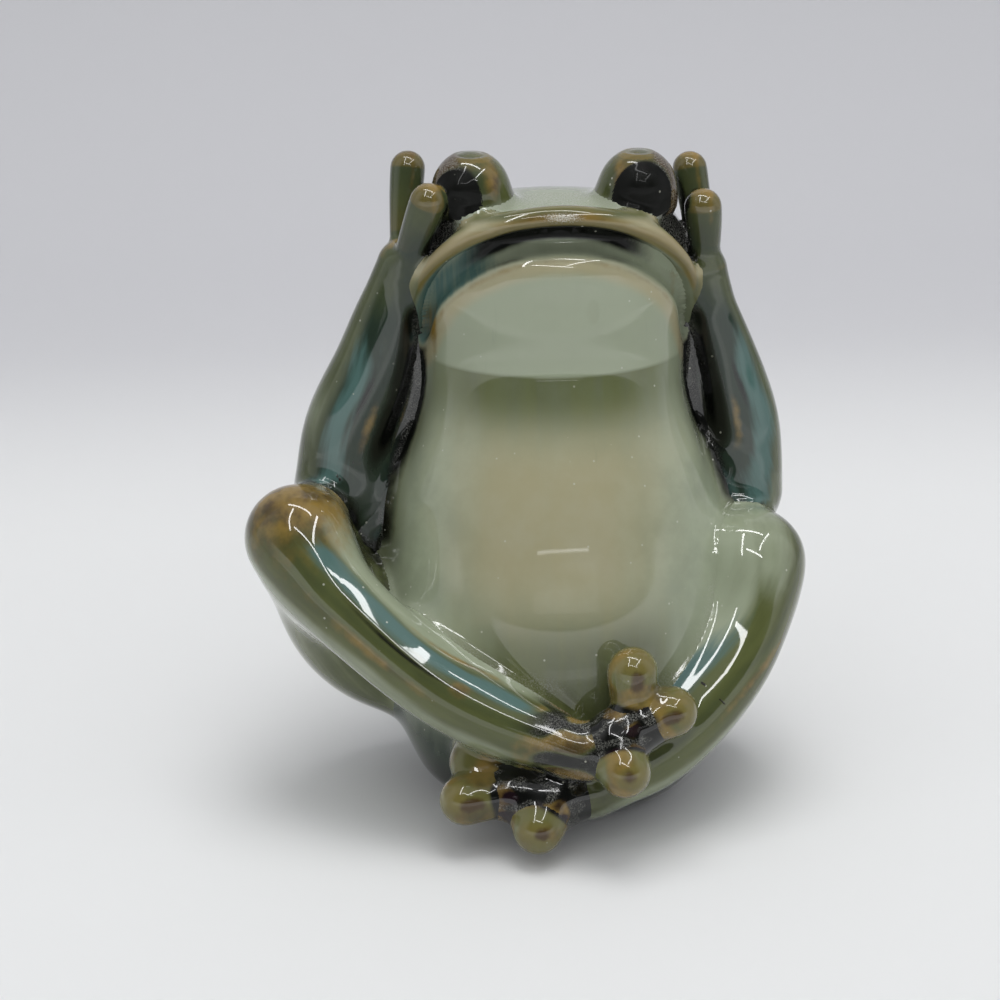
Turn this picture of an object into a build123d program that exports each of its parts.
from build123d import *
import os
from math import cos, radians, sin
from numpy import interp

# Glazed ceramic frog figurine, sitting with crossed legs and its hands held up to its head.
# The body is a hollow casting; head, lip, eyes, arms, fingers, legs, feet and toes are
# separate clay pieces that are luted to it, one seated on the next, before the firing.
# Millimetres, +Z up, the frog looks along -Y, and +X is the frog's own left.
# The origin is the middle of the flat ground ring under the body.

# Body and head
body_width = 50.0
body_depth = 41.0
head_height = 84.0
wall_thickness = 4.0
vent_diameter = 3.5
vent_setback = 7.0
overrun = 1.0

# Mouth and eyes
lip_thickness = 3.6
lip_corner_share = 0.6
eyelid_diameter = 9.8
left_eyeball_diameter = 7.2
right_eyeball_diameter = 6.6

# Limbs, each at its thickest place
left_arm_thickness = 10.4
right_arm_thickness = 12.4
finger_tip_diameter = 5.2
thigh_thickness = 18.0
shin_thickness = 12.6
foot_thickness = 8.4
toe_tip_diameter = 6.4

# Belly, chest and throat as level ellipses: height as a share of the head height, middle and
# half depth as shares of the body depth, half width as a share of the body width.
torso_shares = [
    # height, middle, half width, half depth
    (0.000, 0.000, 0.300, 0.341),
    (0.030, 0.007, 0.388, 0.420),
    (0.066, 0.017, 0.434, 0.456),
    (0.119, 0.034, 0.472, 0.483),
    (0.214, 0.061, 0.496, 0.500),
    (0.357, 0.122, 0.500, 0.500),
    (0.453, 0.178, 0.482, 0.480),
    (0.548, 0.232, 0.448, 0.451),
    (0.690, 0.329, 0.380, 0.402),
    (0.809, 0.390, 0.388, 0.366),
    (0.880, 0.402, 0.372, 0.329),
    (0.929, 0.395, 0.310, 0.263),
    (0.958, 0.385, 0.200, 0.160),
    (0.971, 0.380, 0.080, 0.060),
]
cavity_rows = slice(2, 11)

# The hood of the head over the throat, on the same terms.
head_shares = [
    (0.770, 0.380, 0.320, 0.290),
    (0.810, 0.432, 0.400, 0.348),
    (0.880, 0.450, 0.412, 0.346),
    (0.935, 0.450, 0.390, 0.315),
    (0.968, 0.425, 0.345, 0.290),
    (0.988, 0.385, 0.270, 0.240),
    (0.997, 0.362, 0.170, 0.150),
    (1.000, 0.358, 0.060, 0.050),
]

# The mouth and the eyes: across as a share of the body width, forward or back as a share of
# the body depth, up as a share of the head height. The mouth's middle lies between its corners.
mouth_middle_share = (0.0, 0.310, 0.831)
mouth_corner_share = (0.396, 0.310, 0.831)
mouth_top_share = (0.0, 0.118, 1.000)
left_eyelid_share = (0.238, 0.336, 1.028)
right_eyelid_share = (-0.238, 0.336, 1.030)
left_eyeball_share = (0.240, 0.272, 1.029)
right_eyeball_share = (-0.264, 0.280, 1.029)

# Centre lines of the limbs, in the same shares of the body, each with the limb's thickness
# there as a share of its thickest place.
left_upper_arm_shares = [
    (0.345, 0.430, 0.750, 0.86),
    (0.440, 0.400, 0.630, 0.90),
    (0.500, 0.290, 0.460, 0.84),
]
right_upper_arm_shares = [
    (-0.345, 0.430, 0.750, 0.80),
    (-0.440, 0.400, 0.630, 0.88),
    (-0.520, 0.280, 0.440, 0.84),
]
left_forearm_shares = [
    (0.574, 0.268, 0.484, 1.00),
    (0.562, 0.290, 0.607, 0.98),
    (0.525, 0.315, 0.700, 0.84),
    (0.478, 0.330, 0.791, 0.66),
    (0.440, 0.341, 0.872, 0.52),
]
right_forearm_shares = [
    (-0.634, 0.268, 0.518, 1.00),
    (-0.600, 0.290, 0.619, 1.00),
    (-0.530, 0.310, 0.720, 0.90),
    (-0.484, 0.325, 0.816, 0.69),
    (-0.440, 0.340, 0.899, 0.52),
]
left_thigh_shares = [
    (0.260, 0.220, 0.162, 1.00),
    (0.440, 0.146, 0.203, 0.95),
    (0.530, 0.061, 0.293, 0.80),
    (0.556, 0.000, 0.393, 0.66),
]
right_thigh_shares = [
    (-0.260, 0.220, 0.178, 1.00),
    (-0.490, 0.146, 0.241, 0.95),
    (-0.660, 0.061, 0.351, 0.80),
    (-0.750, 0.000, 0.465, 0.66),
]
left_shin_shares = [
    (0.558, -0.012, 0.406, 1.00),
    (0.540, -0.110, 0.348, 0.94),
    (0.500, -0.205, 0.291, 0.88),
    (0.380, -0.341, 0.210, 0.80),
    (0.214, -0.439, 0.140, 0.72),
    (0.054, -0.488, 0.097, 0.62),
]
right_shin_shares = [
    (-0.756, -0.012, 0.478, 1.00),
    (-0.686, -0.134, 0.417, 0.95),
    (-0.582, -0.232, 0.359, 0.89),
    (-0.360, -0.385, 0.263, 0.79),
    (-0.132, -0.500, 0.211, 0.73),
    (0.016, -0.561, 0.187, 0.62),
]
left_foot_shares = [
    (0.080, -0.480, 0.098, 0.50),
    (-0.040, -0.515, 0.092, 1.00),
    (-0.170, -0.500, 0.098, 0.90),
]
right_foot_shares = [
    (-0.010, -0.556, 0.188, 0.50),
    (0.090, -0.561, 0.203, 1.00),
    (0.165, -0.548, 0.227, 0.84),
]

# Fingers and toes run from a narrow root to a round tip.
left_finger_shares = {
    "left_front_finger": [(0.446, 0.330, 0.840, 0.62), (0.424, 0.317, 0.988, 1.00)],
    "left_rear_finger": [(0.448, 0.345, 0.850, 0.62), (0.406, 0.488, 1.034, 0.96)],
}
right_finger_shares = {
    "right_front_finger": [(-0.440, 0.330, 0.866, 0.62), (-0.348, 0.317, 1.004, 1.00)],
    "right_rear_finger": [(-0.440, 0.345, 0.870, 0.62), (-0.408, 0.488, 1.045, 0.96)],
}
left_toe_shares = {
    "left_outer_toe": [(-0.150, -0.500, 0.100, 0.62), (-0.314, -0.512, 0.094, 1.00)],
    "left_middle_toe": [(-0.070, -0.520, 0.096, 0.62), (-0.116, -0.610, 0.061, 1.00)],
    "left_inner_toe": [(-0.150, -0.480, 0.106, 0.62), (-0.286, -0.390, 0.132, 0.90)],
}
right_toe_shares = {
    "right_outer_toe": [(0.140, -0.550, 0.229, 0.62), (0.154, -0.488, 0.312, 1.00)],
    "right_middle_toe": [(0.150, -0.550, 0.225, 0.62), (0.260, -0.537, 0.249, 1.00)],
    "right_inner_toe": [(0.110, -0.560, 0.210, 0.62), (0.118, -0.659, 0.173, 1.00)],
}

# A round end is closed by rings at these turns from the last full ring, and the rings
# between stand apart by these shares of the limb's thickness.
end_turns = (35.0, 62.0, 82.0)
lip_turns = range(-10, 191, 25)
arm_ring_share = 0.3
leg_ring_share = 0.5


def place(share):
    """A point of the body from its shares of body width, body depth and head height."""
    return Vector(share[0] * body_width, share[1] * body_depth, share[2] * head_height)


def body_rings(rows, inset):
    """Middle, half width and half depth of each level ellipse, drawn in by inset."""
    rings = []
    for height_share, middle_share, width_share, depth_share in rows:
        middle = Vector(0, middle_share * body_depth, height_share * head_height)
        rings.append((middle, width_share * body_width - inset, depth_share * body_depth - inset))
    return rings


def limb_rings(shares, thickness, ring_share):
    """Middle, direction and radius of the rings along a limb, with a round close at each end.

    The rings stand at even steps along a smooth line through the limb's places, and the
    thickness runs evenly from each place to the next.
    """
    middles = [place(share) for share in shares]
    line = Edge.make_spline(middles)
    marks = [line.param_at_point(middle) for middle in middles]
    radii = [share[3] * thickness / 2 for share in shares]
    count = max(round(line.length / (ring_share * thickness)), len(end_turns))
    rings = []
    for step in range(count + 1):
        at = step / count
        rings.append((line @ at, line % at, float(interp(at, marks, radii))))
    first_middle, first_along, first_radius = rings[0]
    last_middle, last_along, last_radius = rings[-1]
    for turn in end_turns:
        reach = sin(radians(turn))
        width = cos(radians(turn))
        first_end = first_middle - first_along * first_radius * reach
        last_end = last_middle + last_along * last_radius * reach
        rings.insert(0, (first_end, first_along, first_radius * width))
        rings.append((last_end, last_along, last_radius * width))
    return rings


def lip_rings():
    """Rings along the mouth's half ellipse, from corner to corner, thinner towards the corners."""
    middle = place(mouth_middle_share)
    to_corner = middle - place(mouth_corner_share)
    to_top = place(mouth_top_share) - middle
    rings = []
    for turn in lip_turns:
        angle = radians(turn)
        centre = middle + to_corner * cos(angle) + to_top * sin(angle)
        along = (to_top * cos(angle) - to_corner * sin(angle)).normalized()
        fullness = lip_corner_share + (1 - lip_corner_share) * max(sin(angle), 0)
        rings.append((centre, along, fullness * lip_thickness / 2))
    return rings


def write_piece(piece, name):
    """Label a finished piece and write it to its own file."""
    piece.part.label = name
    export_step(piece.part, f"parts/{name}.step")


def seated_form(rings, reference, carriers):
    """A loft through round rings, cut away where the pieces that carry it already are."""
    with BuildPart() as form:
        for middle, along, radius in rings:
            with BuildSketch(Plane(origin=middle, x_dir=reference, z_dir=along)):
                Circle(radius)
        loft()
        for carrier in carriers:
            add(carrier.part, mode=Mode.SUBTRACT)
    return form


forwards = Vector(0, -1, 0)
upwards = Vector(0, 0, 1)
askew = Vector(0.3, 0.2, 1)
floor_height = torso_shares[cavity_rows][0][0] * head_height

# Body: a cast egg that leans back, with an even wall and a vent hole in its flat base
with BuildPart() as body_form:
    for middle, half_width, half_depth in body_rings(torso_shares, 0):
        with BuildSketch(Plane(origin=middle)):
            Ellipse(half_width, half_depth)
    loft()

with BuildPart() as torso_shell:
    add(body_form.part)
    for middle, half_width, half_depth in body_rings(torso_shares[cavity_rows], wall_thickness):
        with BuildSketch(Plane(origin=middle)):
            Ellipse(half_width, half_depth)
    loft(mode=Mode.SUBTRACT)
    with BuildSketch(Plane.XY.offset(-overrun)):
        with Locations((0, vent_setback)):
            Circle(vent_diameter / 2)
    extrude(amount=overrun + floor_height + overrun, mode=Mode.SUBTRACT)
write_piece(torso_shell, "torso_shell")

# Head: a low hood that seats on the throat, and meets it along the mouth
with BuildPart() as head_shell:
    for middle, half_width, half_depth in body_rings(head_shares, 0):
        with BuildSketch(Plane(origin=middle)):
            Ellipse(half_width, half_depth)
    loft()
    add(body_form.part, mode=Mode.SUBTRACT)
write_piece(head_shell, "head_shell")

upper_lip = seated_form(lip_rings(), forwards, [body_form, head_shell])
write_piece(upper_lip, "upper_lip")

# Eyes: a dark ball let into a round lid on top of the head
eyelids = []
eyeballs = []
for side, eyelid_share, eyeball_share, eyeball_diameter in (
    ("left", left_eyelid_share, left_eyeball_share, left_eyeball_diameter),
    ("right", right_eyelid_share, right_eyeball_share, right_eyeball_diameter),
):
    with BuildPart() as eyeball:
        with Locations(place(eyeball_share)):
            Sphere(eyeball_diameter / 2)
        add(head_shell.part, mode=Mode.SUBTRACT)
    write_piece(eyeball, f"{side}_eyeball")
    with BuildPart() as eyelid:
        with Locations(place(eyelid_share)):
            Sphere(eyelid_diameter / 2)
        with Locations(place(eyeball_share)):
            Sphere(eyeball_diameter / 2, mode=Mode.SUBTRACT)
        add(head_shell.part, mode=Mode.SUBTRACT)
    write_piece(eyelid, f"{side}_eyelid")
    eyelids.append(eyelid)
    eyeballs.append(eyeball)

# Legs: the frog's right shin crosses over its left one, so the left one is set down first
left_thigh_rings = limb_rings(left_thigh_shares, thigh_thickness, leg_ring_share)
left_thigh = seated_form(left_thigh_rings, forwards, [body_form])
write_piece(left_thigh, "left_thigh")
right_thigh_rings = limb_rings(right_thigh_shares, thigh_thickness, leg_ring_share)
right_thigh = seated_form(right_thigh_rings, forwards, [body_form])
write_piece(right_thigh, "right_thigh")
left_shin_rings = limb_rings(left_shin_shares, shin_thickness, leg_ring_share)
left_shin = seated_form(left_shin_rings, upwards, [body_form, left_thigh])
write_piece(left_shin, "left_shin")
right_shin_rings = limb_rings(right_shin_shares, shin_thickness, leg_ring_share)
right_shin = seated_form(right_shin_rings, upwards, [body_form, right_thigh, left_shin])
write_piece(right_shin, "right_shin")
left_foot_rings = limb_rings(left_foot_shares, foot_thickness, leg_ring_share)
left_foot = seated_form(left_foot_rings, upwards, [body_form, left_shin, right_shin])
write_piece(left_foot, "left_foot")
right_foot_rings = limb_rings(right_foot_shares, foot_thickness, leg_ring_share)
right_foot = seated_form(right_foot_rings, upwards, [body_form, right_shin, left_shin, left_foot])
write_piece(right_foot, "right_foot")

# Toes: each starts inside its foot, and is cut by the toes that were luted before it
for toe_shares in (left_toe_shares, right_toe_shares):
    carriers = [body_form, left_shin, right_shin, left_foot, right_foot]
    for name, shares in toe_shares.items():
        toe_rings = limb_rings(shares, toe_tip_diameter, leg_ring_share)
        toe = seated_form(toe_rings, askew, carriers)
        write_piece(toe, name)
        carriers.append(toe)

# Arms: upper arms come off the shoulders, and forearms stand on the knees and reach the head
head_pieces = [body_form, head_shell, upper_lip] + eyelids + eyeballs
left_upper_arm_rings = limb_rings(left_upper_arm_shares, left_arm_thickness, arm_ring_share)
left_upper_arm = seated_form(
    left_upper_arm_rings, forwards, [body_form, head_shell, left_thigh, left_shin]
)
write_piece(left_upper_arm, "left_upper_arm")
right_upper_arm_rings = limb_rings(right_upper_arm_shares, right_arm_thickness, arm_ring_share)
right_upper_arm = seated_form(
    right_upper_arm_rings, forwards, [body_form, head_shell, right_thigh, right_shin]
)
write_piece(right_upper_arm, "right_upper_arm")
left_forearm_rings = limb_rings(left_forearm_shares, left_arm_thickness, arm_ring_share)
left_arm_carriers = head_pieces + [left_upper_arm, left_thigh, left_shin]
left_forearm = seated_form(left_forearm_rings, forwards, left_arm_carriers)
write_piece(left_forearm, "left_forearm")
right_forearm_rings = limb_rings(right_forearm_shares, right_arm_thickness, arm_ring_share)
right_arm_carriers = head_pieces + [right_upper_arm, right_thigh, right_shin]
right_forearm = seated_form(right_forearm_rings, forwards, right_arm_carriers)
write_piece(right_forearm, "right_forearm")

# Fingers: two round tips at the top of each forearm, beside the eye
for finger_shares, forearm in ((left_finger_shares, left_forearm), (right_finger_shares, right_forearm)):
    carriers = head_pieces + [forearm]
    for name, shares in finger_shares.items():
        finger_rings = limb_rings(shares, finger_tip_diameter, leg_ring_share)
        finger = seated_form(finger_rings, forwards, carriers)
        write_piece(finger, name)
        carriers.append(finger)
